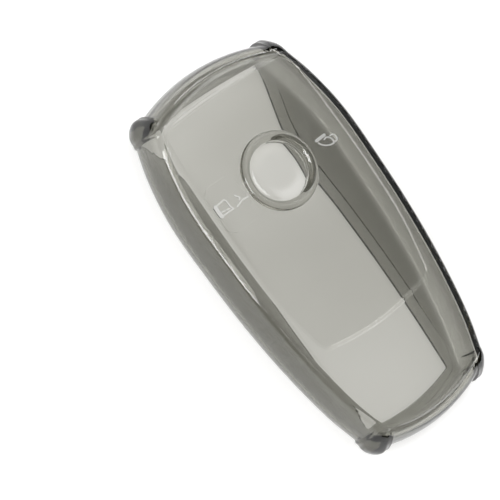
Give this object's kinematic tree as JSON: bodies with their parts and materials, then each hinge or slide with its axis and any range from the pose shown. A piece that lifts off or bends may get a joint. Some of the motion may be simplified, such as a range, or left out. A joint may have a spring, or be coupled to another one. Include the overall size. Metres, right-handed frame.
{
  "type": "key fob cover",
  "caption": "Soft clear smoke-grey cover for a car key fob: a barrel-shaped moulding, open at the back, with a raised rim round a dished centre and flexing press areas at both sides.",
  "frame": {"origin": "middle of the outline of the flat back face, where the cover rests", "axes": "+X across the cover, +Y along it towards its broader end, +Z from the open back to the front with the press areas"},
  "size_m": [0.0438, 0.085, 0.014],
  "materials": {
    "shell": "clear soft plastic tinted smoke grey, polished as it leaves the mould",
    "press_areas": "the same clear smoke-grey soft plastic, part of the same moulding"
  },
  "bodies": {
    "cover": {"shell": "shell"},
    "boot_button": {"boot_button": "press_areas"},
    "centre_button": {"centre_button": "press_areas"},
    "lock_button": {"lock_button": "press_areas"}
  },
  "joints": [
    {"name": "boot_press", "type": "slide", "parent": "cover", "child": "boot_button", "axis": [0, 0, -1], "range_m": [0, 0.0006], "stiffness_N_per_m": 2000},
    {"name": "centre_press", "type": "slide", "parent": "cover", "child": "centre_button", "axis": [0, 0, -1], "range_m": [0, 0.0006], "stiffness_N_per_m": 2000},
    {"name": "lock_press", "type": "slide", "parent": "cover", "child": "lock_button", "axis": [0, 0, -1], "range_m": [0, 0.0006], "stiffness_N_per_m": 2000}
  ]
}
